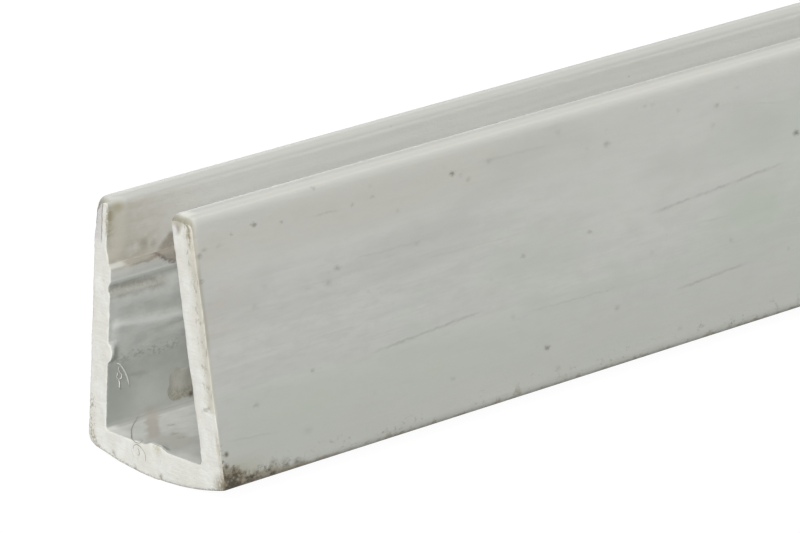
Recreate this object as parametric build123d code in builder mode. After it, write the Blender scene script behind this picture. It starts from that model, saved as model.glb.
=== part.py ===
from build123d import *
import math
import os

# A sawn length of rigid PVC channel that pushes onto the edge of a pane or panel.
# It runs along X. Its crowned base is down, with its lowest line at Z 0, and its open mouth is up.
# The front leg stands on the -Y side and the back leg on the +Y side. The middle of the length is X 0.

# Length and section, in millimetres
length = 1000.0
base_width = 14.6  # between the two lower outer edges
crown_rise = 1.0  # from the middle of the underside up to those edges
base_thickness = 2.2  # in the middle, from the lowest line up to the floor of the slot
leg_height = 19.2  # from the lowest line up to the tip of the front leg
back_leg_drop = 0.5  # how much lower the tip of the back leg is
front_wall = 2.15  # square to the leg
back_wall = 1.8
toe_in = 7.25  # degrees that each leg leans towards the other

# Grip on the inner face of the back leg: a thinner lip over a ledge, a groove and a bead
ledge_height = 14.0
lip_wall = 1.55
groove_height = 12.4
groove_radius = 0.6
groove_depth = 0.2
bead_height = 7.8
bead_radius = 0.8
bead_stand = 0.45  # how far the bead stands out of the wall

# Rounding of the section's edges
tip_radius = 0.5
front_edge_radius = 0.4  # lower outer edge, front
back_edge_radius = 0.8  # lower outer edge, back
slot_corner_radius = 0.35
ledge_nose_radius = 0.1
bead_foot_radius = 0.3

half_base = base_width / 2
back_height = leg_height - back_leg_drop
lean = math.tan(math.radians(toe_in))
along_y = 1 / math.cos(math.radians(toe_in))  # a leg's thickness along Y, for each mm square to it


def face(height, wall=0.0):
    """How far from the middle plane a leg's face is at a height: the outer face, or the one a wall inside it."""
    return half_base - lean * (height - crown_rise) - wall * along_y


def corners_between(low, high, rounding=0.001):
    """The corners that the section has now between two heights, those at the heights included."""
    return section.vertices().filter_by_position(Axis.Y, low - rounding, high + rounding)


with BuildPart() as channel_profile:
    with BuildSketch(Plane.YZ.offset(-length / 2)) as section:
        with BuildLine():
            underside = ThreePointArc((-half_base, crown_rise), (0, 0), (half_base, crown_rise))
            Polyline(
                underside @ 1,
                (face(back_height), back_height),
                (face(back_height, lip_wall), back_height),
                (face(ledge_height, lip_wall), ledge_height),
                (face(ledge_height, back_wall), ledge_height),
                (face(base_thickness, back_wall), base_thickness),
                (-face(base_thickness, front_wall), base_thickness),
                (-face(leg_height, front_wall), leg_height),
                (-face(leg_height), leg_height),
                underside @ 0,
            )
        make_face()

        groove_centre = face(groove_height, back_wall) - (groove_radius - groove_depth)
        with Locations((groove_centre, groove_height)):
            Circle(groove_radius, mode=Mode.SUBTRACT)
        bead_centre = face(bead_height, back_wall) + (bead_radius - bead_stand)
        with Locations((bead_centre, bead_height)):
            Circle(bead_radius)

        fillet(corners_between(back_height, leg_height), tip_radius)
        fillet(corners_between(ledge_height, ledge_height).sort_by(Axis.X)[0], ledge_nose_radius)
        fillet(corners_between(bead_height - bead_radius, bead_height + bead_radius), bead_foot_radius)
        fillet(corners_between(base_thickness, base_thickness), slot_corner_radius)
        fillet(corners_between(0, crown_rise).sort_by(Axis.X)[0], front_edge_radius)
        fillet(corners_between(0, crown_rise).sort_by(Axis.X)[-1], back_edge_radius)
    extrude(amount=length)

channel_profile.part.label = "channel_profile"
os.makedirs("parts", exist_ok=True)
export_step(channel_profile.part, "parts/channel_profile.step")

area = section.sketch.area
print(f"section {area:.2f} mm2, volume {channel_profile.part.volume / 1000:.2f} cm3")
print(f"mouth {face(leg_height, front_wall) + face(leg_height, lip_wall):.2f} mm,"
      f" floor of the slot {face(base_thickness, front_wall) + face(base_thickness, back_wall):.2f} mm")
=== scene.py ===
import math

import bmesh
import bpy
from mathutils import Matrix, Vector, noise


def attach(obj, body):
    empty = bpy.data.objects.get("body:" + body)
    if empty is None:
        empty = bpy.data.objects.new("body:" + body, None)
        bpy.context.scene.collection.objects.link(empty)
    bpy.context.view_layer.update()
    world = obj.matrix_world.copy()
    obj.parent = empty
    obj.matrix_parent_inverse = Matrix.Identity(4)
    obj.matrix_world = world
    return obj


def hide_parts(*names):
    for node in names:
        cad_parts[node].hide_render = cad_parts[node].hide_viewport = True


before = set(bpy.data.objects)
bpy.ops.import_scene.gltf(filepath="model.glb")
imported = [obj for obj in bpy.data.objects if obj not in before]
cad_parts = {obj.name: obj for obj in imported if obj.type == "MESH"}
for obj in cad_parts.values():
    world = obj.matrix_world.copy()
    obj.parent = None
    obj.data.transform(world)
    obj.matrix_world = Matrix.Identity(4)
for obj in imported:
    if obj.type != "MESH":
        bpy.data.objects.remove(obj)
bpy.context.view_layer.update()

# The channel: one length of extruded rigid PVC that pushes onto the edge of a pane. Its two legs
# lean in to grip. It was sawn off by hand, and years outdoors have greyed its skin and left
# dirt, scratches and mould on it. Sizes here are millimetres, from the near sawn end.

length = 1000.0
half_base, crown_rise, base_thickness = 7.3, 1.0, 2.2
leg_height, back_height = 19.2, 18.7
front_wall, back_wall, lip_wall = 2.15, 1.8, 1.55
ledge_height, ledge_foot = 14.0, 13.9
lean_angle = math.radians(7.25)
lean = math.tan(lean_angle)
bead_height, bead_radius, bead_sunk = 7.8, 0.8, 0.35  # sunk: how far inside the wall its middle lies
groove_height, groove_radius, groove_clear = 12.4, 0.6, 0.4  # clear: how far outside the wall


def face(height, wall=0.0):
    """How far out a leg's outer face is at a height, or the face that lies a wall inside it."""
    return half_base - lean * (height - crown_rise) - wall / math.cos(lean_angle)


def hump(distance, width):
    """A smooth bump: 1 where the distance is 0, and next to nothing two widths away."""
    return math.exp(-((distance / width) ** 2))


def rise(value, low, high):
    """0 below low, 1 above high, and a smooth slope between them."""
    share = min(1.0, max(0.0, (value - low) / (high - low)))
    return share * share * (3 - 2 * share)


# The ladder of the section, from the back leg's tip round to the front leg's: the outer and inner
# end of each rung, and the steps on to the next.
rungs = [
    ((face(back_height), back_height), (face(back_height, lip_wall), back_height), 28),
    ((face(ledge_height), ledge_height), (face(ledge_height, lip_wall), ledge_height), 1),
    ((face(ledge_foot), ledge_foot), (face(ledge_foot, back_wall), ledge_foot), 76),
    ((half_base, crown_rise), (face(base_thickness, back_wall), base_thickness), 52),
    ((-half_base, crown_rise), (-face(base_thickness, front_wall), base_thickness), 58),
    ((-face(leg_height), leg_height), (-face(leg_height, front_wall), leg_height), 0),
]
first_step = [sum(rung[2] for rung in rungs[:i]) for i in range(len(rungs))]
back_leg_end, floor_end, steps_round = first_step[3:]
depths = [0, 0.035, 0.12, 0.3, 0.5, 0.7, 0.88, 0.965, 1]  # through the wall, from its outer face
crown_radius = (half_base**2 + crown_rise**2) / (2 * crown_rise)
crown_slope = math.asin(half_base / crown_radius)


def rails(step):
    """The outer and the inner end of the rung at a step."""
    rung = max(i for i in range(len(rungs) - 1) if first_step[i] <= step)
    share = (step - first_step[rung]) / rungs[rung][2]
    outer = Vector(rungs[rung][0]).lerp(Vector(rungs[rung + 1][0]), share)
    inner = Vector(rungs[rung][1]).lerp(Vector(rungs[rung + 1][1]), share)
    if back_leg_end <= step < floor_end:  # the crowned underside
        outer.y = crown_radius - math.sqrt(crown_radius**2 - outer.x**2)
    return outer, inner


# Each rounded corner: where it is, the ways its two faces run from it, and its radius.
down, up = Vector((lean, -1)).normalized(), Vector((-lean, 1)).normalized()
under = Vector((-math.cos(crown_slope), -math.sin(crown_slope)))
inward, outward = Vector((-1, 0)), Vector((1, 0))
back_corners = [
    (rungs[0][0], inward, down, 0.5),
    (rungs[0][1], outward, down, 0.5),
    (rungs[3][0], under, up, 0.8),
    (rungs[3][1], inward, up, 0.35),
]
front_corners = [
    (rungs[5][0], inward, down, 0.5),
    (rungs[5][1], outward, down, 0.5),
    (rungs[4][0], under, up, 0.4),
    (rungs[4][1], inward, up, 0.35),
]
flip = Matrix(((-1, 0), (0, 1)))
corners = [(Vector(at), one, two, radius) for at, one, two, radius in back_corners]
corners += [(Vector(at), flip @ one, flip @ two, radius) for at, one, two, radius in front_corners]


def rounded(point):
    """The point, moved onto the rounding if it is in a corner."""
    for corner, one, two, radius in corners:
        reach = radius / math.tan(one.angle(two) / 2)
        off, turn = point - corner, one.cross(two)
        a, b = off.cross(two) / turn, one.cross(off) / turn
        if -1e-6 <= a < reach and -1e-6 <= b < reach:
            u, v = 1 - a / reach, 1 - b / reach
            pull = max(u, v) / math.hypot(u, v)
            return corner + one * reach * (1 - u * pull) + two * reach * (1 - v * pull)
    return point


def grip(height):
    """How far the bead stands out of the back leg's inner face at a height, and the groove goes in."""
    bead = math.sqrt(max(0.0, bead_radius**2 - (height - bead_height) ** 2)) - bead_sunk
    groove = math.sqrt(max(0.0, groove_radius**2 - (height - groove_height) ** 2)) - groove_clear
    return max(0.0, bead) - max(0.0, groove)


bm = bmesh.new()
step_of, depth_of = bm.verts.layers.int.new("step"), bm.verts.layers.float.new("depth")
bmesh.ops.create_grid(bm, x_segments=steps_round, y_segments=len(depths) - 1, size=1)
for vert in bm.verts:
    step = round((vert.co.x + 1) / 2 * steps_round)
    depth = depths[round((vert.co.y + 1) / 2 * (len(depths) - 1))]
    outer, inner = rails(step)
    point = rounded(outer.lerp(inner, depth))
    if step <= back_leg_end:
        point.x -= grip(point.y) * depth
    vert[step_of], vert[depth_of] = step, depth
    vert.co = (0, *point)

drawn_out = bmesh.ops.extrude_face_region(bm, geom=bm.faces[:])["geom"]
far_verts = [v for v in drawn_out if isinstance(v, bmesh.types.BMVert)]
bmesh.ops.translate(bm, vec=(length, 0, 0), verts=far_verts)

# Rings round the section: close together for the first stretch, which has the fine marks, then further
# and further apart, and close again at the far end.
fine_stretch, far_stretch, widest_gap = 60, 30, 20
rings, gap = [0.0, 0.05, 0.11, 0.18, 0.27, 0.38, 0.5], 0.22
while rings[-1] < length - far_stretch - 10:
    rings.append(min(length - far_stretch, rings[-1] + gap))
    if 7 <= rings[-1] < fine_stretch:
        gap *= 1.035
    elif rings[-1] >= fine_stretch and gap < widest_gap:
        gap *= 1.2
rings += [length - far_stretch * 0.55**i for i in range(1, 10)] + [length]
lengthwise = [e for e in bm.edges if e.calc_length() > length / 2]
bmesh.ops.subdivide_edges(bm, edges=lengthwise, cuts=len(rings) - 2, use_grid_fill=True)
for vert in bm.verts:
    vert.co.x = rings[round(vert.co.x / length * (len(rings) - 1))]
bmesh.ops.recalc_face_normals(bm, faces=bm.faces)

# The map for baking, in strips: where each starts and how high it is. Near half of the map's width is for
# the first stretch of the length.
skin_strip, slot_strip = (0.01, 0.41), (0.44, 0.41)
back_tip_strip, front_tip_strip = (0.862, 0.018), (0.883, 0.018)
far_sawn_strip, near_sawn_strip = (0.905, 0.035), (0.948, 0.044)
fine_share = 0.45
bake_map = bm.loops.layers.uv.new("OFBake")
for flat in bm.faces:
    found = [(v.co.x, v[step_of] / steps_round, v[depth_of]) for v in flat.verts]
    spans = [max(f[i] for f in found) - min(f[i] for f in found) for i in range(3)]
    for loop, (along, around, depth) in zip(flat.loops, found):
        if along < fine_stretch:
            wide = fine_share * along / fine_stretch
        else:
            wide = fine_share + (1 - fine_share) * (along - fine_stretch) / (length - fine_stretch)
        if spans[0] == 0:  # a sawn face
            flat.material_index = 2
            strip = near_sawn_strip if along == 0 else far_sawn_strip
            wide, high = around, depth
        elif spans[1] == 0:  # a leg's tip
            strip = front_tip_strip if around else back_tip_strip
            high = depth
        else:
            flat.material_index = 0 if depth == 0 else 1
            strip = skin_strip if depth == 0 else slot_strip
            high = around
        loop[bake_map].uv = 0.01 + 0.98 * wide, strip[0] + strip[1] * high


def saw_marks(y, z):
    """How deep the saw's ridges and torn grain go into the near end."""
    coarse = noise.noise((0, y * 0.5, z * 0.35)) * 0.05
    ridges = noise.noise((3, y * 1.2 + z * 0.5, z * 3.2)) * 0.025
    fine = noise.noise((7, y * 4, z * 4)) * 0.02
    return 0.08 + coarse + ridges + fine


def rim_wear(step, y, z, outer_side):
    """How far the near end's edge is rounded off: torn here and there, and most at the front tip."""
    wear = 0.05 + 0.16 * abs(noise.noise((step * 0.11, 3.1 if outer_side else 8.7, 0)))
    wear += 0.06 * max(0.0, noise.noise((step * 0.45, 6.0 if outer_side else 1.5, 0)))
    if not outer_side:
        return 0.5 * wear
    if y < 0:
        return wear + 0.42 * rise(z, 15.0, 17.6) + 0.16 * hump(z - 6.3, 0.4) + 0.15 * rise(-z, -3.6, -1.5)
    return wear + 0.12 * rise(z, 15.5, 18.0)


def wrinkles(along, z):
    """How far the back leg's inner face is rucked near the cut, where an old seal was dragged out."""
    q = z + 0.09 * along
    shape = 0.09 * hump(q - 11.3, 0.6) - 0.08 * hump(q - 12.4, 0.25)
    shape += 0.22 * rise(q, 6.9, 9.5) * (1 - rise(q, 9.5, 10.3))
    wave = 0.85 + 0.4 * noise.noise((along * 0.6, 0, z * 1.3))
    there = rise(along, 0.15, 0.9) * (1 - rise(along, 7.5, 13))
    return (shape * wave - max(0.0, grip(z))) * there


def rolled(along, radius):
    """How far a tip sinks where it is rolled over onto the sawn end."""
    return radius - math.sqrt(radius**2 - (radius - along) ** 2) if along < radius else 0.0


# The saw's work and the wear move the points.
saw_reach = 3.0  # how far in from an end its marks go
for vert in bm.verts:
    along, y, z = vert.co
    step, depth = vert[step_of], vert[depth_of]
    outer, inner = rails(step)
    across = Vector((0, *(inner - outer)))
    wall = across.length
    across.normalize()
    if step <= back_leg_end:
        rucked = rise(z, 2.6, 4.5) * (1 - rise(z, 12.9, 13.4))
        vert.co.y -= wrinkles(along, z) * rise(depth, 0.3, 1.0) * rucked
        vert.co.y += 0.25 * rise(z, 14.2, 15.4) * (1 - rise(along, 0.2, 1.6)) * depth  # a lip worn thin
    if back_leg_end < step < floor_end and depth > 0.6:  # the floor's torn edge, with a lump on it
        lump = 0.34 * hump(y - 0.35, 0.55) + 0.3 * hump(y + 0.5, 0.5) + 0.08 * hump(y - 1.9, 0.3)
        vert.co.z += lump * hump(along - 0.15, 0.3) * rise(depth, 0.6, 1.0)
    if y < 0:
        vert.co.z -= rolled(along, 0.7) * rise(z, 18.0, 19.2) * 0.6
    else:
        vert.co.z -= rolled(along, 0.9) * rise(z, 17.4, 18.7) * (0.6 - 0.45 * depth)
        bent_in = 0.12 * rise(z, 16.0, 17.3) + 0.22 * rise(z, 17.6, 18.6)
        vert.co.y -= rolled(along, 0.9) * bent_in * (1 - depth)
    if along < saw_reach:
        vert.co.x += saw_marks(y, z) * math.exp(-along / 0.35)
        for side, off in ((True, depth * wall), (False, (1 - depth) * wall)):
            wear = rim_wear(step, y, z, side)
            if along < wear and off < wear:
                u, v = 1 - along / wear, 1 - off / wear
                pull = max(u, v) / math.hypot(u, v)
                vert.co.x += wear * u * (1 - pull)
                vert.co += across * wear * v * (1 - pull) * (1 if side else -1)
    elif along > length - saw_reach:
        torn = 0.06 + 0.05 * noise.noise((11, y * 1.5, z * 0.6)) + 0.03 * noise.noise((13, y * 4, z * 4))
        vert.co.x -= torn * math.exp((along - length) / 0.5)

# From millimetres at the near end to metres in the frame.
into_frame = Matrix.Translation((-length / 2000, 0, 0)) @ Matrix.Scale(0.001, 4)
bmesh.ops.transform(bm, matrix=into_frame, verts=bm.verts)
for edge in bm.edges:
    sides = {flat.material_index for flat in edge.link_faces}
    edge.smooth = len(sides) == 1 or 2 not in sides or edge.calc_face_angle(0) < math.radians(50)


def made_up(name, bm):
    """Makes a smooth object of a mesh and puts it in the scene."""
    for flat in bm.faces:
        flat.smooth = True
    mesh = bpy.data.meshes.new(name)
    bm.to_mesh(mesh)
    bm.free()
    made = bpy.data.objects.new(name, mesh)
    bpy.context.scene.collection.objects.link(made)
    return made


channel = made_up("weathered_channel", bm)


class Wire:
    """One value on its way through a material. A sum written on wires adds the Math nodes for it."""

    def __init__(self, tree, socket=None):
        self.tree, self.socket = tree, socket

    def node(self, kind, settings=None, sockets=None, out=0):
        """Any other node: its type, its settings, what its sockets take, and which output is wanted."""
        made = self.tree.nodes.new("ShaderNode" + kind)
        for name, value in (settings or {}).items():
            setattr(made, name, value)
        for name, value in (sockets or {}).items():
            if isinstance(value, Wire):
                self.tree.links.new(value.socket, made.inputs[name])
            else:
                made.inputs[name].default_value = value
        return Wire(self.tree, made.outputs[out] if made.outputs else None)

    def other(self, out):
        """Another output of the node that this value comes from."""
        return Wire(self.tree, self.socket.node.outputs[out])

    def maths(self, operation, *values):
        """A Math node on some values."""
        return self.node("Math", {"operation": operation}, dict(enumerate(values)))

    def __add__(self, other):
        return self.maths("ADD", self, other)

    def __sub__(self, other):
        return self.maths("SUBTRACT", self, other)

    def __rsub__(self, other):
        return self.maths("SUBTRACT", other, self)

    def __mul__(self, other):
        return self.maths("MULTIPLY", self, other)

    __radd__, __rmul__ = __add__, __mul__

    def size(self):
        return self.maths("ABSOLUTE", self)

    def most(self, other):
        return self.maths("MAXIMUM", self, other)

    def over(self, low, high, depth=1.0):
        """0 where the value is below low, depth where it is above high, and a smooth slope between."""
        sockets = {"Value": self, "From Min": low, "From Max": high, "To Max": depth}
        return self.node("MapRange", {"interpolation_type": "SMOOTHSTEP"}, sockets)

    def under(self, low, high, depth=1.0):
        """Depth where the value is below low, and 0 where it is above high."""
        return self.over(high, low, depth)

    def near(self, centre, half, soft, depth=1.0):
        """Depth within half of the centre, fading out over soft."""
        return (self - centre).size().under(half, half + soft, depth)

    def spot(self, centre, radius, depth=1.0):
        """A soft spot in a place: depth in its middle, and 0 beyond its radius."""
        far = self.node("VectorMath", {"operation": "DISTANCE"}, {0: self, 1: centre}, "Value")
        sockets = {"Value": far, "From Min": radius, "From Max": 0.0, "To Max": depth}
        return far.node("MapRange", None, sockets)


def paint(red, green, blue):
    """A colour by its 0 to 255 values, as a screen shows it."""
    return tuple(((c / 255 + 0.055) / 1.055) ** 2.4 for c in (red, green, blue))


def blend(factor, base, top):
    """One colour laid over another where the factor is 1."""
    base, top = (tint if isinstance(tint, Wire) else (*tint, 1) for tint in (base, top))
    return factor.node("Mix", {"data_type": "RGBA"}, {0: factor, 6: base, 7: top}, 2)  # its colour sockets


def heaviest(marks):
    """Several marks as one, each place taking its darkest."""
    while len(marks) > 1:
        marks = [a.most(b) for a, b in zip(marks[::2], marks[1::2])] + marks[len(marks) // 2 * 2:]
    return marks[0]


class Finish:
    """A material on its way: the place in millimetres from the near end, and the marks drawn there."""

    def __init__(self, name):
        self.material = bpy.data.materials.new(name)
        self.material.use_nodes = True
        self.shader = self.material.node_tree.nodes["Principled BSDF"]
        at = Wire(self.material.node_tree).node("TexCoord", out="Object")
        into_millimetres = {0: at, 1: (1000, 1000, 1000), 2: (length / 2, 0, 0)}
        self.place = at.node("VectorMath", {"operation": "MULTIPLY_ADD"}, into_millimetres)
        self.along = self.place.node("SeparateXYZ", None, {0: self.place})
        self.across, self.up = self.along.other("Y"), self.along.other("Z")

    def scaled(self, scale, shift):
        """The place, stretched and moved for one noise."""
        sockets = {0: self.place, 1: scale, 2: (shift,) * 3}
        return self.place.node("VectorMath", {"operation": "MULTIPLY_ADD"}, sockets)

    def grain(self, scale, detail=3.0, rough=0.55, shift=0.0, bend=0.0):
        """Noise from 0 to 1. The scale is how often it turns in a millimetre along, across and up."""
        sockets = {"Vector": self.scaled(scale, shift), "Scale": 1.0, "Detail": detail, "Roughness": rough}
        return self.place.node("TexNoise", None, sockets | {"Distortion": bend})

    def spots(self, scale, shift, share, rim, depth=1.0):
        """Spots at random: how many cells a millimetre, the share of cells with one, and its radius."""
        far = self.place.node("TexVoronoi", None, {"Vector": self.scaled(scale, shift), "Scale": 1.0})
        pick = far.node("SeparateColor", None, {0: far.other("Color")})
        return far.under(0.2 * rim, rim, depth) * pick.under(share, share + 0.04)

    def ragged(self, stretch, jitter, amount):
        """The place, stretched, with its parts shifted a little at random, so that rims look torn."""
        centred = {0: jitter.other("Color"), 1: (0.5, 0.5, 0.5)}
        shift = jitter.node("VectorMath", {"operation": "SUBTRACT"}, centred)
        flat = jitter.node("VectorMath", {"operation": "MULTIPLY"}, {0: self.place, 1: stretch})
        sockets = {0: shift, 1: tuple(amount if s else 0 for s in stretch), 2: flat}
        return jitter.node("VectorMath", {"operation": "MULTIPLY_ADD"}, sockets)

    def finish(self, colour, rough, relief, height):
        """Puts the colour, roughness and relief, in millimetres, on the shader."""
        bump = relief.node("Bump", None, {"Strength": 1.0, "Distance": height / 1000, "Height": relief})
        for name, wire in (("Base Color", colour), ("Roughness", rough), ("Normal", bump)):
            relief.tree.links.new(wire.socket, self.shader.inputs[name])
        return self.material


# The outer skin: grey chalked PVC, streaked along its length, tanned near the top and greenish low down.
skin = Finish("chalked_skin")
along, up, across = skin.along, skin.up, skin.across
streaks = skin.grain((0.12, 1.3, 1.3), 4, 0.6, 2.0, 0.3)
clouds = skin.grain((0.1, 0.3, 0.25), 3, 0.5, 11.0)
mottle = skin.grain((0.7, 1.3, 1.3), 4, 0.6, 5.0)
fine = skin.grain((2.2, 5, 5), 3, 0.6)
lines = skin.grain((0.5, 5, 5), 2, 0.5, 61.0)
colour = blend(streaks.over(0.35, 0.65), paint(183, 184, 180), paint(189, 190, 185))
colour = blend(lines.over(0.5, 0.7, 0.22), colour, paint(168, 169, 163))
colour = blend(mottle.under(0.35, 0.55, 0.3), colour, paint(173, 173, 167))
lighter = along.over(14, 40).most(up.over(13, 15, 0.7)) * up.over(6, 13)
colour = blend(lighter * 0.6, colour, paint(193, 193, 188))
tan = up.near(17.2, 0.6, 1.9) * (mottle + clouds).over(0.7, 1.25) * along.under(20, 46)
colour = blend(tan * 0.8, colour, paint(185, 183, 174))
green = up.near(4.2, 1.5, 2.5) * (clouds + streaks).over(0.86, 1.12)
green = green.most(clouds.over(0.5, 0.65) * along.over(10, 25) * up.under(11, 16))
colour = blend(green * 0.55, colour, paint(176, 182, 172))

# Greener patches: along, up and how strong.
patches = [(50, 8, 1.0), (52, 14, 0.9), (18, 4, 0.7), (8, 4.2, 0.9), (13.5, 4, 0.6), (34, 2.8, 0.5)]
patches.append((29, 10, 0.4))
wide = skin.ragged((0.12, 0, 0.3), mottle, 0.35)
greener = heaviest([wide.spot((0.12 * x, 0, 0.3 * z), 1.0, depth) for x, z, depth in patches])
colour = blend(greener * across.under(-1, 0, 0.7), colour, paint(175, 183, 171))
colour = blend(up.under(1.5, 9, 0.55), colour, paint(174, 175, 168))
colour = blend(clouds.under(0.35, 0.5, 0.3), colour, paint(174, 175, 169))
warm = along.under(0.5, 6) * up.near(12.7, 1.2, 1.2) * mottle.over(0.4, 0.6)
colour = blend(warm * 0.5, colour, paint(181, 174, 164))

# Scratches: from and to, along and up, their half width and how deep.
scratches = [
    (14.03, 7.06, 23.13, 7.56, 0.1, 0.75), (40.13, 10.71, 52.13, 11.41, 0.1, 0.7),
    (41.63, 4.96, 47.63, 5.26, 0.1, 0.7), (28.13, 6.56, 35.63, 6.36, 0.07, 0.35),
    (13.13, 13.56, 19.73, 13.46, 0.08, 0.3), (9.93, 17.21, 12.33, 17.06, 0.09, 0.4),
    (1.03, 4.16, 4.63, 3.81, 0.08, 0.3), (20.13, 12.16, 28.13, 11.96, 0.08, 0.25),
    (25.13, 17.56, 30.63, 17.36, 0.1, 0.3), (50.83, 16.06, 52.63, 15.76, 0.07, 0.35),
    (44.33, 9.06, 46.13, 8.96, 0.08, 0.35),
]
jitter = skin.grain((1.6, 2.4, 2.4), 3, 0.6, 31.0)
wavy = up + jitter * 0.3
marks = []
for x0, z0, x1, z1, half, depth in scratches:
    slope = (z1 - z0) / (x1 - x0)
    off = along.maths("MULTIPLY_ADD", along, -slope, wavy)
    mark = off.near(z0 - slope * x0 + 0.15, 0, half * 1.7, depth * 0.75)
    marks.append(mark * along.near((x0 + x1) / 2, (x1 - x0) / 2 - 1.0, 2.0))
scratched = heaviest(marks) * (fine.over(0.25, 0.6, 0.5) + 0.35) * mottle.over(0.15, 0.6)
colour = blend(scratched, colour, paint(136, 135, 128))

# Specks that sit where the photographed length has them: along, up, radius and how dark.
specks = [
    (10.51, 18.96, 0.2, 0.5), (5.16, 17.71, 0.24, 0.8), (3.21, 17.51, 0.18, 0.5),
    (7.46, 17.36, 0.2, 0.5), (13.51, 17.16, 0.2, 0.45), (15.31, 17.31, 0.2, 0.4),
    (15.21, 18.06, 0.22, 0.3), (22.36, 17.31, 0.26, 0.9), (23.11, 17.06, 0.28, 0.35),
    (23.71, 16.61, 0.28, 0.4), (25.71, 17.41, 0.3, 0.35), (11.61, 13.31, 0.32, 0.55),
    (10.91, 13.11, 0.3, 0.25), (10.71, 12.51, 0.42, 0.45), (8.51, 7.06, 0.22, 0.55),
    (3.51, 5.96, 0.26, 0.5), (4.41, 12.41, 0.4, 0.3), (9.01, 12.51, 0.35, 0.2), (7.51, 3.26, 0.45, 0.3),
    (14.41, 8.96, 0.34, 0.2), (17.31, 15.91, 0.26, 0.3), (27.71, 10.41, 0.26, 0.5),
    (26.26, 6.56, 0.26, 0.3), (28.91, 3.76, 0.28, 0.9), (35.61, 4.96, 0.28, 0.5),
    (33.91, 10.71, 0.24, 0.5), (20.31, 3.66, 0.28, 0.4), (24.71, 9.46, 0.24, 0.25),
    (36.31, 16.31, 0.38, 0.5), (36.46, 17.31, 0.22, 0.2), (32.11, 18.06, 0.35, 0.35),
    (40.21, 18.16, 0.26, 0.35), (40.91, 18.06, 0.22, 0.35), (43.21, 17.21, 0.28, 0.3),
    (46.81, 16.76, 0.28, 0.5), (46.31, 15.51, 0.34, 0.35), (54.01, 13.26, 0.28, 1),
    (46.81, 7.21, 0.24, 0.4), (39.31, 8.01, 0.32, 0.25), (29.71, 2.11, 0.26, 0.4),
    (34.51, 16.41, 0.26, 0.25), (2.21, 17.01, 0.26, 0.3), (5.41, 13.51, 0.4, 0.25),
    (18.61, 13.36, 0.3, 0.3), (25.81, 1.36, 0.3, 0.4), (41.11, 2.21, 0.28, 0.35),
    (48.91, 17.61, 0.32, 0.25), (13.51, 4.31, 0.3, 0.2), (4.33, 1.9, 0.4, 0.6), (5.2, 1.72, 0.4, 0.5),
    (6.31, 1.4, 0.45, 0.8), (2.68, 1.7, 0.4, 0.4), (1.75, 1.95, 0.4, 0.4), (0.22, 1.95, 0.3, 0.8),
    (0.32, 16.67, 0.3, 0.8), (0.19, 14.98, 0.3, 0.9), (0.17, 17.98, 0.2, 0.5),
    (0.85, 16.96, 0.28, 0.45),
]
smudge = skin.grain((3.4, 5, 5), 2, 0.6, 17.0)
torn_place = skin.ragged((0.75, 0, 1.1), smudge, 0.42)
placed = heaviest([torn_place.spot((0.75 * x, 0, 1.1 * z), r * 1.15, depth) for x, z, r, depth in specks])
placed = placed.over(0, 1) * across.under(-1, 0)
scattered = skin.spots((0.5, 0.6, 0.6), 3.0, 0.1, 0.12, 0.25)
scattered = scattered.most(skin.spots((1.2, 1.4, 1.4), 8.0, 0.06, 0.15, 0.2))
placed = placed.most(scattered * mottle.over(0.35, 0.65))
colour = blend(placed * 0.8, colour, paint(98, 94, 82))

# Black mould along the lower edge, thick at the sawn corner, and a thin tan film above it there.
corner = across.under(-6, -5)
film = up.under(1.9, 3.3, 0.5) * along.under(1.5, 4.5) * (smudge.over(0.2, 0.6, 0.5) + 0.5) * corner
colour = blend(film, colour, paint(150, 143, 120))
reach = up - along.under(0.7, 2.2, 0.8) + along.over(2.5, 6, 0.35) + along.over(4, 10, 0.35)
thick = reach.under(0.95, 2.4)
halo = skin.grain((1.1, 1.5, 1.5), 4, 0.7, 41.0) * 1.3 + thick * 0.65 - 0.15 - up.over(1.8, 3.2, 0.12)
colour = blend(halo.over(0.6, 0.95, 0.75) * corner, colour, paint(127, 119, 98))
black = skin.grain((1.9, 2.3, 2.3), 4, 0.7, 47.0) * 1.7 + thick * 0.5 - 0.35 - up.over(1.8, 3.2, 0.24)
black = black - up.under(1.25, 1.5, 0.2) * along.over(1, 2)
colour = blend(black.over(0.62, 1.08, 0.9) * corner, colour, paint(52, 45, 32))
speckle = skin.grain((3.2, 4, 4), 2, 0.5, 41.0)
rim_dots = along.under(0.15, 0.45) * up.under(3.2, 4.6) * speckle.over(0.48, 0.6) * corner * 0.6
rim_dots = rim_dots.most(skin.place.spot((0.55, -7.01, 3.37), 0.27, 1.0) * speckle.over(0.2, 0.5))
rim_dots = rim_dots.most(skin.place.spot((0.42, -7.1, 2.56), 0.32, 1.1) * speckle.over(0.2, 0.5))
colour = blend(rim_dots, colour, paint(84, 76, 54))


def facing_up(finish):
    """1 where the surface looks up, 0 where it is upright."""
    normal = finish.place.node("NewGeometry", out="Normal")
    return normal.node("SeparateXYZ", None, {0: normal}, "Z")


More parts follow.
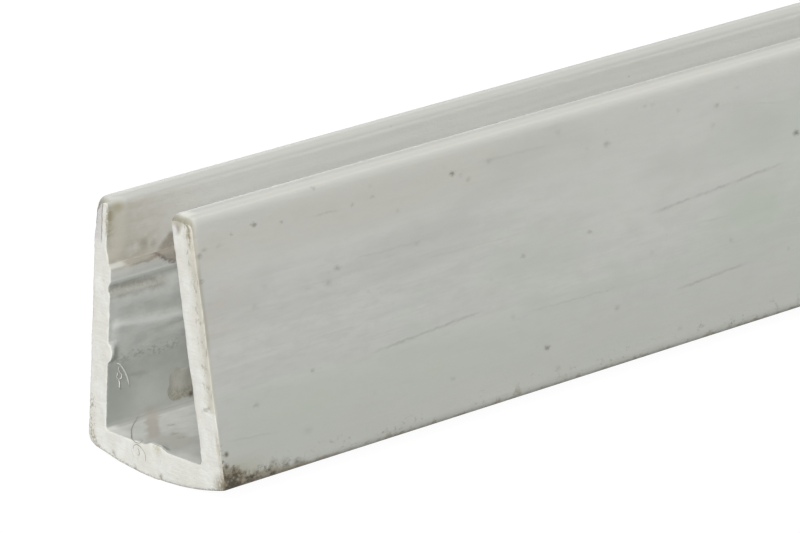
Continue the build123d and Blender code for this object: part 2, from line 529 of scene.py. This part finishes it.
# The tips and the flank's top band are painted paler, part rubbed wear and part painted highlight, and the
# cut edge is torn white where dirt doesn't fill it.
top = facing_up(skin)
bright = (up + jitter * 1.2).over(18.0, 19.4, 0.2) * across.under(-1, 0)
wear_and_painted_highlight = bright.most(top.over(0.45, 0.95, 0.85)) * (mottle * 0.5 + 0.75)
# The tips' colours across their width: paler rubbed tops, with painted shade on the roundings the fill and
# top lamps light, on the back tip's inner side and outer edge and along the front tip's inner edge.
wear_and_painted_light = blend(across.over(3.6, 4.5), paint(186, 186, 181), paint(208, 208, 202))
wear_and_painted_light = blend(across.over(4.2, 4.7), wear_and_painted_light, paint(180, 180, 174))
wear_and_painted_light = blend(across.under(-1, 0), wear_and_painted_light, paint(200, 200, 193))
wear_and_painted_light = blend(across.near(-3.3, 0.3, 0.7), wear_and_painted_light, paint(177, 177, 171))
wear_and_painted_light = blend(along.under(0.6, 1.5) * across.near(-3.9, 0.3, 0.3), wear_and_painted_light, paint(220, 221, 212))
colour = blend(wear_and_painted_highlight, colour, wear_and_painted_light)
rim = along.under(0.12, 0.5) * up.over(4, 7) * (mottle * 0.5 + 0.7)
colour = blend(rim * 0.9, colour, blend(up.near(7.8, 2.0, 1.5), paint(163, 160, 147), paint(184, 183, 173)))
soil = along.under(0.1, 0.42) * up.over(18.0, 18.5) * (jitter + fine).over(0.75, 1.0) * across.under(-1, 0)
colour = blend(soil * 0.5, colour, paint(142, 136, 110))
flecks = along.under(0.15, 0.5) * up.over(16.2, 17.0) * across.over(4, 4.5) * fine.over(0.5, 0.62)
colour = blend(flecks * 0.7, colour, paint(92, 88, 78))
rough = 0.62 + mottle * 0.16 - wear_and_painted_highlight * 0.05
relief = streaks * 0.2 + mottle * 0.5 + fine * 0.3
channel.data.materials.append(skin.finish(colour, rough, relief, 0.04))

# The slot's skin: whiter and smoother, with khaki dirt on the back leg's lip and grime below it, and
# painted light and shade in places.
slot = Finish("slot_grime_and_painted_light")
along, up, across = slot.along, slot.up, slot.across
streaks = slot.grain((0.05, 1.5, 1.5), 4, 0.6, 4.0, 0.3)
mottle = slot.grain((0.9, 1.6, 1.6), 4, 0.6, 9.0)
fine = slot.grain((3.5, 6, 6), 3, 0.6)
jitter = slot.grain((1.1, 1.5, 1.5), 3, 0.55, 23.0)
speckle = slot.grain((4, 5, 5), 2, 0.5, 37.0)
back = across.over(0, 1)
colour = blend(streaks.over(0.35, 0.65), paint(220, 220, 215), paint(226, 226, 221))
wall_grey = blend(mottle.over(0.3, 0.7), paint(184, 186, 181), paint(194, 196, 191))
low_grey = blend(mottle.over(0.3, 0.7), paint(166, 168, 163), paint(172, 175, 169))
wall_grey = blend(up.under(6.4, 7.6), wall_grey, low_grey)
colour = blend(up.under(12.5, 14.0, 0.95), colour, wall_grey)
facing = facing_up(slot)
swung_along, swung_up = along + jitter * 1.1 - 0.55, up + jitter * 0.8 - 0.4

# The lip above the ledge: brown all over, khaki and washed near the cut, and a dark wedge behind.
brownish = along.under(1, 12) * back * up.over(13.2, 14.0) * (mottle + streaks).over(0.6, 1.3, 0.5)
brownish = brownish + along.under(2, 8, 0.45) * back * up.over(13.2, 14.0)
colour = blend(brownish, colour, paint(193, 188, 176))
lid = up.near(13.95, 0.08, 0.06) * along.over(1.1, 1.7) * back
colour = blend(lid * 0.85, colour, paint(145, 142, 134))
khaki = swung_up.near(14.4, 0.5, 0.8) * swung_along.over(-0.3, 0.8) * swung_along.under(2.6, 4.8)
khaki = khaki * up.over(13.6, 13.8) * mottle.over(0.25, 0.65, 0.5) * back
colour = blend(khaki, colour, paint(172, 165, 148))
wash = along.under(0.6, 2.4, 0.75) * up.over(14.0, 14.4) * back
wash_tan = blend(mottle.over(0.3, 0.7), paint(174, 171, 156), paint(187, 184, 171))
colour = blend(wash, colour, wash_tan)
# Painted shade on the tips' inner roundings: the up-facing parts above 17 mm are painted darker grey, more
# so on the back leg, which tones down the light the top and fill lamps put there.
colour = blend(facing.over(0.1, 0.7) * up.over(17, 18), colour, paint(195, 195, 190))
colour = blend(facing.over(-0.08, 0.4) * up.over(17, 18) * back, colour, paint(187, 187, 182))
olive = along.under(0.25, 0.8, 0.7) * swung_up.near(17.2, 0.8, 0.7) * jitter.over(0.4, 0.55) * back
colour = blend(olive.most(slot.place.spot((0.75, 3.55, 18.05), 0.65, 0.7)), colour, paint(146, 139, 104))
chip = swung_up.near(13.95, 0.1, 0.3) * along.under(1.0, 1.5) * back
colour = blend(chip * 0.8, colour, paint(204, 204, 197))
ragged_up = up + jitter * 0.6 - 0.3
wedge = (ragged_up - swung_along * 1.3).under(8.1, 9.0) * (ragged_up + along * 0.56).over(15.95, 16.3)
wedge = wedge * along.under(5.8, 6.6) * ragged_up.under(15.0, 15.4) * back
wedge_brown = blend(speckle.over(0.3, 0.7), paint(148, 141, 130), paint(166, 158, 147))
colour = blend(wedge * 0.85, colour, wedge_brown)
colour = blend(lid * along.over(3.4, 4.0) * along.under(5.8, 6.4, 0.9), colour, paint(149, 143, 132))
smirch = slot.place.spot((3.1, 3.72, 14.85), 0.55, 0.7)
smirch = smirch.most(slot.place.spot((3.85, 3.75, 14.75), 0.45, 0.6))
colour = blend(smirch, colour, paint(126, 119, 99))
crust = (ragged_up + along * 0.56).near(16.1, 0.04, 0.28) * along.near(5.1, 0.9, 0.5) * back
colour = blend(crust * speckle.over(0.3, 0.6, 0.75), colour, paint(90, 73, 65))
rim_line = swung_up.near(13.72, 0.02, 0.2) * along.near(3.1, 0.7, 0.9) * back
colour = blend(rim_line * 0.5, colour, paint(124, 110, 92))

# The wall below the ledge: a band of painted shade under the ledge, a painted lit edge, a groove darkened
# by dirt and by painted shade, painted highlights along the rucks, a row of dots, and a painted shadow near
# the cut.
# Painted shade: a darker band just under the ledge.
dim = up.near(13.4, 0.2, 0.25) * along.near(3.4, 1.2, 0.8) * back
colour = blend(dim * 0.25, colour, paint(166, 168, 164))
lit = up.near(12.8, 0.1, 0.2) * along.under(5.5, 7.5) * back
colour = blend(lit * 0.9, colour, paint(222, 224, 219))
# The groove is darkened grey-brown: dirt in it, and painted shade a little below the modelled groove.
groove = (ragged_up + along * 0.05).near(12.15, 0.2, 0.45) * along.near(2.4, 1.6, 1.6) * back
colour = blend(groove * (speckle.over(0.3, 0.6, 0.25) + 0.5), colour, paint(142, 139, 128))
colour = blend(slot.place.spot((3.15, 3.95, 12.45), 0.3, 1.2), colour, paint(96, 96, 92))
colour = blend(slot.place.spot((7.4, 5.23, 2.95), 0.34, 1.1), colour, paint(84, 81, 68))
# Painted highlights: paler lines on the rucks' upward-facing slopes.
low = up + along * 0.09 + jitter * 0.4 - 0.2
wear_and_painted_light = low.near(9.75, 0.05, 0.25).most(low.near(11.7, 0.3, 0.5, 0.5)) * along.near(3.4, 2.6, 0.9) * back
colour = blend(wear_and_painted_light * 0.4, colour, paint(206, 208, 204))
dots = swung_up.near(7.1, 0.12, 0.5) * speckle.over(0.45, 0.65) * along.near(3.4, 2.3, 1.2) * back
colour = blend(dots * 0.4, colour, paint(122, 120, 113))
stroke = (swung_up + along * 0.1).near(5.85, 0.02, 0.25) * along.near(2.7, 0.5, 0.9) * back
colour = blend(stroke * 0.35, colour, paint(130, 129, 124))
shadow = along.under(0.6, 3.0) * up.near(4.6, 1.7, 1.0) * back
colour = blend(shadow * (mottle * 0.3 + 0.25), colour, paint(146, 151, 143))
aqua = slot.place.spot((3.7, 5.1, 4.2), 1.9, 0.7)
colour = blend(aqua, colour, paint(186, 191, 184))

# The slot's floor: paler than the wall, painted lighter near the cut as a painted pool of light, with
# painted shade in the fillet, a brown smear and specks.
on_floor = facing.over(0.2, 0.9) * up.under(2.9, 3.2)
floor_grey = blend(mottle.over(0.3, 0.7), paint(193, 194, 189), paint(204, 205, 200))
colour = blend(on_floor * 0.85, colour, floor_grey)
# Painted shade: the fillet between floor and wall is painted darker, which tones down the light it catches.
painted_fillet_shade = facing.near(0.58, 0.3, 0.14) * up.under(2.7, 3.0)
colour = blend(painted_fillet_shade * 0.75, colour, paint(155, 156, 150))
# Painted light: the floor near the cut is painted paler, as a pool of light there.
painted_light_at_cut = on_floor * along.under(0.5, 1.3, 0.85) * across.over(2.6, 3.8).most(across.under(-2.4, -1.4))
colour = blend(painted_light_at_cut, colour, paint(212, 213, 207))
smear = (along * 0.795 - across * 0.607 + jitter * 0.9).near(0.45, 0.25, 0.4)
smear = smear * across.over(1.0, 2.2) * up.under(2.4, 3.2) * along.under(3.6, 5.5, 0.7)
colour = blend(smear, colour, paint(166, 158, 149))
sweep = (across + jitter * 1.6).near(1.0, 0.9, 1.3) * on_floor * swung_along.near(1.9, 0.8, 1.0)
colour = blend(sweep * 0.6, colour, paint(172, 170, 163))
specked = slot.spots((0.9, 1.1, 1.1), 2.0, 0.12, 0.14, 0.4) * mottle.over(0.35, 0.6)
for at in ((3.8, 2.87, 2.2), (2.77, 1.38, 2.2), (2.64, 0.45, 2.2)):
    specked = specked.most(slot.place.spot(at, 0.4, 0.6) * speckle.over(0.35, 0.6))
colour = blend(specked, colour, paint(120, 116, 104))
torn = along.under(0.05, 0.3) * (mottle + fine).over(0.85, 1.15)
colour = blend(torn * 0.4, colour, paint(206, 205, 199))
rough = 0.42 + mottle * 0.16
relief = streaks * 0.3 + mottle * 0.4 + fine * 0.2
channel.data.materials.append(slot.finish(colour, rough, relief, 0.06))

# The sawn faces: off-white PVC, dragged and mottled, browned along the front leg's outer edge.
sawn = Finish("sawn_pvc")
along, up, across = sawn.along, sawn.up, sawn.across
mottle = sawn.grain((1, 1.2, 0.9), 4, 0.55, 3.0)
ridges = sawn.grain((1, 1.0, 4.5), 3, 0.6, 12.0, 0.6)
fine = sawn.grain((4, 6, 5), 3, 0.6, 8.0)
jitter = sawn.grain((1, 1.4, 1.4), 3, 0.6, 19.0)
near_end = along.under(400, 600)
patchy = sawn.grain((0.5, 0.45, 0.4), 3, 0.55, 27.0)
colour = blend(mottle.over(0.3, 0.7), paint(226, 225, 218), paint(235, 236, 230))
colour = blend(patchy.over(0.45, 0.65, 0.5), colour, paint(224, 221, 210))
colour = blend(fine.under(0.3, 0.42, 0.15), colour, paint(198, 195, 185))

# The front leg's face: browned along its outer edge, with a rolled tip and a pale flake. Here inside is how
# far a place is from that leg's outer face.
inside = across - up * lean + jitter * 0.5 + (half_base + crown_rise * lean - 0.25)
band = up.over(5.9, 6.6) * near_end
colour = blend(inside.under(0.6, 1.2) * band * 0.7, colour, paint(218, 216, 205))
colour = blend(inside.under(0.35, 0.75) * band * 0.9, colour, paint(205, 202, 190))
drawn = sawn.grain((1, 3.2, 1.6), 3, 0.6, 12.0, 0.4)
seam = drawn.over(0.52, 0.7) * inside.near(0.45, 0.3, 0.35) * up.over(5.8, 8) * near_end
colour = blend(seam * 0.6, colour, paint(150, 142, 120))
notch = (up + inside * 0.4 + fine * 0.6).near(6.95, 0.03, 0.16) * inside.near(0.85, 0.3, 0.3) * near_end
colour = blend(notch * 0.5, colour, paint(150, 142, 120))
beside, above = (0.9 - inside).most(0.0), (up + jitter * 0.4 - 18.55).most(0.0)
crest = (beside * beside + above * above).maths("POWER", beside * beside + above * above, 0.5)
front_tip = up.over(16.8, 17.8) * across.under(-1, 0) * near_end
colour = blend(crest.over(0.48, 0.68, 0.7) * front_tip, colour, paint(206, 205, 195))
arch = crest.near(0.5, 0.03, 0.14) * fine.over(0.25, 0.5, 0.8) * front_tip
arch = arch * (across.under(-4.4, -4.0, 0.6) + 0.4)
colour = blend(arch, colour, paint(124, 114, 88))
colour = blend(sawn.place.spot((0.1, -3.95, 18.8), 0.5, 0.5) * near_end, colour, paint(156, 152, 132))
colour = blend(sawn.place.spot((0.1, -3.5, 18.25), 0.5, 1.0) * near_end, colour, paint(142, 130, 110))
flake = sawn.place.spot((0.1, -3.1, 18.15), 0.55, 1.6) * near_end
colour = blend(flake, colour, paint(228, 226, 224))

# The back leg's face, split at its tip. Here outside is how far a place is from that leg's outer face.
outside = half_base + crown_rise * lean + 0.15 - (across + up * lean + jitter * 0.3)
high = up.over(15.3, 16.0) * near_end
colour = blend(outside.under(0.55, 0.75, 0.7) * high, colour, paint(204, 201, 201))
colour = blend(outside.near(0.74, 0.01, 0.1, 0.7) * high, colour, paint(128, 119, 116))
soiled = outside.under(0.1, 0.3) * up.over(16.0, 17.2) * fine.over(0.42, 0.58) * near_end
colour = blend(soiled * 0.8, colour, paint(90, 86, 78))
olive = outside.over(1.1, 1.25) * up.near(17.2, 0.7, 0.6) * across.over(0, 1) * fine.over(0.3, 0.5)
olive = olive * near_end
colour = blend(olive * 0.75, colour, paint(136, 128, 94))

# Dirt round the lower rim, and nicks along the floor's edge.
skirt = (up - across * across * 0.019 + jitter * 0.3).under(0.2, 0.38) * fine.over(0.42, 0.55) * near_end
colour = blend(skirt * 0.5, colour, paint(128, 122, 106))
edged = up.near(16.9, 1.4, 0.9, 0.5).most(up.near(2.6, 1.0, 2.4, 0.9)) * inside.under(0.12, 0.5) * near_end
colour = blend(edged * (fine.over(0.3, 0.6, 0.5) + 0.55), colour, paint(184, 178, 163))
capped = up.over(18.15, 18.75) * inside.over(0.9, 1.2) * across.under(-1, 0, 0.65) * near_end
colour = blend(capped, colour, paint(176, 170, 148))
foul = sawn.place.spot((0.1, -7.2, 1.05), 1.3, 1.3) * near_end
colour = blend(foul * (fine.over(0.3, 0.55, 0.8) + 0.25), colour, paint(140, 132, 112))
stained = outside.under(0.3, 1.3) * up.under(1.6, 5.5) * mottle.over(0.35, 0.6) * near_end
colour = blend(stained * 0.5, colour, paint(206, 198, 180))
dotted = outside.under(0.35, 0.8) * up.under(3.5, 5.5) * fine.over(0.52, 0.62) * near_end
colour = blend(dotted * 0.6, colour, paint(136, 126, 104))
rot = inside.under(0.0, 0.3) * up.under(1.2, 2.0) * fine.over(0.35, 0.5) * near_end
colour = blend(rot * 0.8, colour, paint(88, 77, 54))
nicks = [
    (4.6, 0.66, 0.4), (2.31, 0.3, 0.3), (-0.48, 0.3, 0.35), (6.66, 1.41, 0.35), (6.47, 1.1, 0.3),
    (6.2, 0.85, 0.3),
]
nicked = heaviest([sawn.place.spot((0.1, y, z), r, 1.4) for y, z, r in nicks]) * near_end
colour = blend(nicked * fine.over(0.35, 0.6, 0.55), colour, paint(122, 114, 98))
cracked = sawn.place.spot((0.1, -0.2, 2.25), 0.6, 1.2) * fine.over(0.42, 0.56) * near_end
colour = blend(cracked * 0.6, colour, paint(188, 186, 150))
pits = sawn.spots((1, 1.5, 1.5), 5.0, 0.08, 0.3, 0.25) * fine.over(0.4, 0.6)
colour = blend(pits, colour, paint(160, 154, 138))
rough = 0.55 + mottle * 0.2
relief = ridges * 0.5 + mottle * 0.5 + fine * 0.35
channel.data.materials.append(sawn.finish(colour, rough, relief, 0.07))

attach(channel, "root")
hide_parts("channel_profile")

# The dried blob: a smear of old brown sealant that sticks to the back leg's inner face, a few
# millimetres in. It was squeezed out when a pane was set in the channel, and never wiped off.

blob_middle = Vector((6.5, 0.05, 3.95))
blob_half = Vector((1.12, 0.12, 1.35))
squareness = 3  # 2 is an oval
bm = bmesh.new()
bmesh.ops.create_icosphere(bm, subdivisions=5, radius=1)
for vert in bm.verts:
    squared = (abs(vert.co.x) ** squareness + abs(vert.co.z) ** squareness) ** (1 / squareness)
    squared /= max(0.01, math.hypot(vert.co.x, vert.co.z))
    lumps = (1 + 0.3 * noise.noise(vert.co * 1.9 + Vector((4, 0, 0)))) / max(squared, 0.5)
    vert.co = vert.co * Vector((lumps, 1, lumps)) * blob_half + blob_middle
    vert.co.y += face(vert.co.z, back_wall)
bmesh.ops.transform(bm, matrix=into_frame, verts=bm.verts)
blob = made_up("sealant_blob", bm)

gum = Finish("dried_sealant")
mottle = gum.grain((1.2, 1.2, 1.2), 4, 0.6, 7.0)
fine = gum.grain((6, 6, 6), 2, 0.5)
colour = blend(mottle.over(0.35, 0.65), paint(164, 162, 154), paint(174, 172, 164))
rim = (gum.up + mottle * 1.2).under(3.9, 4.8)
rim_olive = blend(fine.over(0.35, 0.65), paint(138, 134, 119), paint(166, 163, 149))
colour = blend(rim * 0.75, colour, rim_olive)
# Painted shade along the blob's left edge, which tones down the light its rounded rim catches.
colour = blend(gum.along.under(5.4, 5.9, 0.6), colour, paint(138, 139, 130))
colour = blend(gum.place.spot((7.4, 5.18, 2.95), 0.34, 1.1), colour, paint(76, 72, 58))
blob.data.materials.append(gum.finish(colour, 0.4 + mottle * 0.15, mottle + fine * 0.2, 0.04))

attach(blob, "root")

# The shavings and fibres: a pale curl of PVC that the saw left on the back leg's inner face, and
# fine dark fibres that cling to the slot's floor and to the sawn edge below it.


def strand(name, points, width, material):
    """A thin round strand through its points, tapering to both ends."""
    bm = bmesh.new()
    ways = [Vector(b) - Vector(a) for a, b in zip(points, points[1:])]
    ways = [ways[0], *(a + b for a, b in zip(ways, ways[1:])), ways[-1]]
    hoops = []
    for i, (point, way) in enumerate(zip(points, ways)):
        taper = 0.35 + 0.65 * math.sin(math.pi * (i + 0.3) / (len(points) - 0.4))
        turned = Matrix.Translation(point) @ way.to_track_quat("Z", "X").to_matrix().to_4x4()
        radius = width / 2 * taper
        hoop = bmesh.ops.create_circle(bm, cap_ends=False, segments=6, radius=radius, matrix=turned)
        hoops.append(hoop["verts"])
    for a, b in zip(hoops, hoops[1:]):
        edges = [e for e in bm.edges if all(v in a for v in e.verts) or all(v in b for v in e.verts)]
        bmesh.ops.bridge_loops(bm, edges=edges)
    for hoop in (hoops[0], hoops[-1]):
        bmesh.ops.contextual_create(bm, geom=hoop)
    bmesh.ops.recalc_face_normals(bm, faces=bm.faces)
    bmesh.ops.transform(bm, matrix=into_frame, verts=bm.verts)
    piece = made_up(name, bm)
    piece.data.materials.append(material)
    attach(piece, "root")


def on_back_wall(along, height, off=0.05):
    """A point just off the back leg's inner face, rucks and all."""
    return along, face(height, back_wall) - wrinkles(along, height) - off, height


curl = Finish("pvc_shaving")
mottle = curl.grain((4, 4, 4), 3, 0.6)
colour = blend(mottle, paint(204, 204, 199), paint(226, 226, 222))
shaving = curl.finish(colour, 0.3 + mottle * 0.2, mottle, 0.02)
lint = Finish("dark_fibre")
mottle = lint.grain((5, 5, 5), 3, 0.6)
colour = blend(mottle, paint(116, 114, 108), paint(168, 166, 158))
fibre = lint.finish(colour, 0.5 + mottle * 0.2, mottle, 0.01)

long_way = [(0.85, 6.87), (1.1, 6.75), (1.38, 6.37), (1.6, 6.0), (1.78, 5.6), (1.9, 5.2), (1.98, 4.9)]
strand("saw_curl_long", [on_back_wall(*at) for at in long_way], 0.11, shaving)
loop_way = [(0.95, 6.2), (0.85, 5.9), (1.0, 5.65), (1.25, 5.7), (1.3, 5.95), (1.12, 6.15), (0.98, 6.4)]
loop_way.append((1.05, 6.6))
strand("saw_curl_loop", [on_back_wall(*at) for at in loop_way], 0.07, shaving)
branch_way = [(1.05, 5.6), (1.12, 5.35), (1.1, 5.1), (1.2, 4.9)]
strand("saw_curl_branch", [on_back_wall(*at) for at in branch_way], 0.1, shaving)


def on_cut(y, z):
    """A point that a fibre takes on the sawn face."""
    return saw_marks(y, z) - 0.01, y, z


curled_way = [(2.78, 5.22, 2.5), (2.4, 5.05, 2.3), (1.96, 4.73, 2.24), (1.3, 4.1, 2.24), (0.8, 3.45, 2.24)]
curled_way += [(0.25, 2.74, 2.25), (0.08, 2.4, 2.22)]
curled_way += [on_cut(2.1, 2.12), on_cut(1.85, 2.12), on_cut(1.6, 2.2), (0.12, 1.4, 2.42)]
strand("fibre_curled", curled_way, 0.05, fibre)
arched_way = [(2.45, 1.55), (2.3, 1.85), (2.0, 2.0), (1.65, 1.95), (1.3, 1.75), (1.08, 1.45), (1.1, 1.05)]
strand("fibre_arched", [on_cut(*at) for at in arched_way], 0.045, fibre)
pale_way = [(2.5, 2.0), (2.58, 1.7), (2.5, 1.35), (2.38, 1.0)]
strand("fibre_pale", [on_cut(*at) for at in pale_way], 0.07, shaving)
short_way = [(1.95, 1.75), (1.78, 1.6), (1.75, 1.4), (1.85, 1.2)]
strand("fibre_short", [on_cut(*at) for at in short_way], 0.05, fibre)

# The studio: a plain pale sheet that the channel lies on, three soft lamps and the camera. The sheet
# shows white to the camera and in reflections, and keeps the channel's shadow.

sheet_half, sheet_below = 60, 0.00002
bm = bmesh.new()
bmesh.ops.create_grid(bm, x_segments=1, y_segments=1, size=sheet_half)
bmesh.ops.translate(bm, vec=(0, 0, -sheet_below), verts=bm.verts)
floor = made_up("studio_floor", bm)

plain = bpy.data.materials.new("pale_floor")
plain.use_nodes = True
plain.node_tree.nodes.clear()
sheet = Wire(plain.node_tree)
seen = sheet.node("LightPath")
seen = seen.most(seen.other("Is Glossy Ray"))
paper = sheet.node("BsdfDiffuse", None, {"Color": (0.35, 0.35, 0.35, 1)})
shown = sheet.node("BsdfDiffuse", None, {"Color": (0.06, 0.06, 0.06, 1)})
glow = sheet.node("Emission", None, {"Color": (1, 1, 1, 1), "Strength": 0.965})
shown = sheet.node("AddShader", None, {0: shown, 1: glow})
shown = sheet.node("MixShader", None, {0: seen, 1: paper, 2: shown})
sheet.node("OutputMaterial", None, {"Surface": shown})
floor.data.materials.append(plain)

world = bpy.data.worlds.new("studio")
bpy.context.scene.world = world
world.use_nodes = True
world.node_tree.nodes.clear()
room = Wire(world.node_tree)
seen = room.node("LightPath")
seen = seen.most(seen.other("Is Glossy Ray")).most(seen.other("Is Transmission Ray"))
dim = room.node("Background", None, {"Color": (1, 1, 1, 1), "Strength": 0.3})
bright = room.node("Background", None, {"Color": (1, 1, 1, 1), "Strength": 1.0})
room.node("OutputWorld", None, {"Surface": room.node("MixShader", None, {0: seen, 1: dim, 2: bright})})

near_section = Vector((-length / 2000, 0, 0.01))


def lamp(name, towards, distance, size, power):
    """A square soft lamp that looks at the near end from a direction."""
    data = bpy.data.lights.new(name, "AREA")
    data.shape, data.size, data.energy = "SQUARE", size, power
    made = bpy.data.objects.new(name, data)
    way = Vector(towards).normalized()
    made.location = near_section + way * distance
    made.rotation_mode = "QUATERNION"
    made.rotation_quaternion = way.to_track_quat("Z", "Y")
    bpy.context.scene.collection.objects.link(made)


lamp("key_lamp", (-0.68, -0.56, 0.47), distance=5, size=2.5, power=237)
lamp("top_lamp", (0.1, -0.2, 0.98), distance=5, size=2.5, power=62)
lamp("fill_lamp", (0.5, 0.85, 0.13), distance=5, size=1.2, power=70)

# The camera stands where the photograph was taken from: its place, how far it is turned, raised and
# tilted, and its focal length in pixels of the photograph's width.
stand = Vector((-0.734505, -0.304617, 0.13763))
turn, raised, tilt = (math.radians(degrees) for degrees in (-40.088, 17.81, -2.153))
focal_pixels, photo_width, film_width = 6134, 800, 36
back_way = Vector((math.sin(turn) * math.cos(raised), -math.cos(turn) * math.cos(raised), math.sin(raised)))
level = Vector((math.cos(turn), math.sin(turn), 0))
plumb = back_way.cross(level)
right = level * math.cos(tilt) + plumb * math.sin(tilt)
upright = plumb * math.cos(tilt) - level * math.sin(tilt)
lens = bpy.data.cameras.new("photo_camera")
lens.sensor_width, lens.lens = film_width, film_width * focal_pixels / photo_width
lens.clip_start, lens.clip_end = 0.01, 100
camera = bpy.data.objects.new("photo_camera", lens)
turned = Matrix((right, upright, back_way)).transposed().to_4x4()
camera.matrix_world = Matrix.Translation(stand) @ turned
bpy.context.scene.collection.objects.link(camera)
bpy.context.scene.camera = camera
bpy.context.scene.view_settings.view_transform = "Standard"
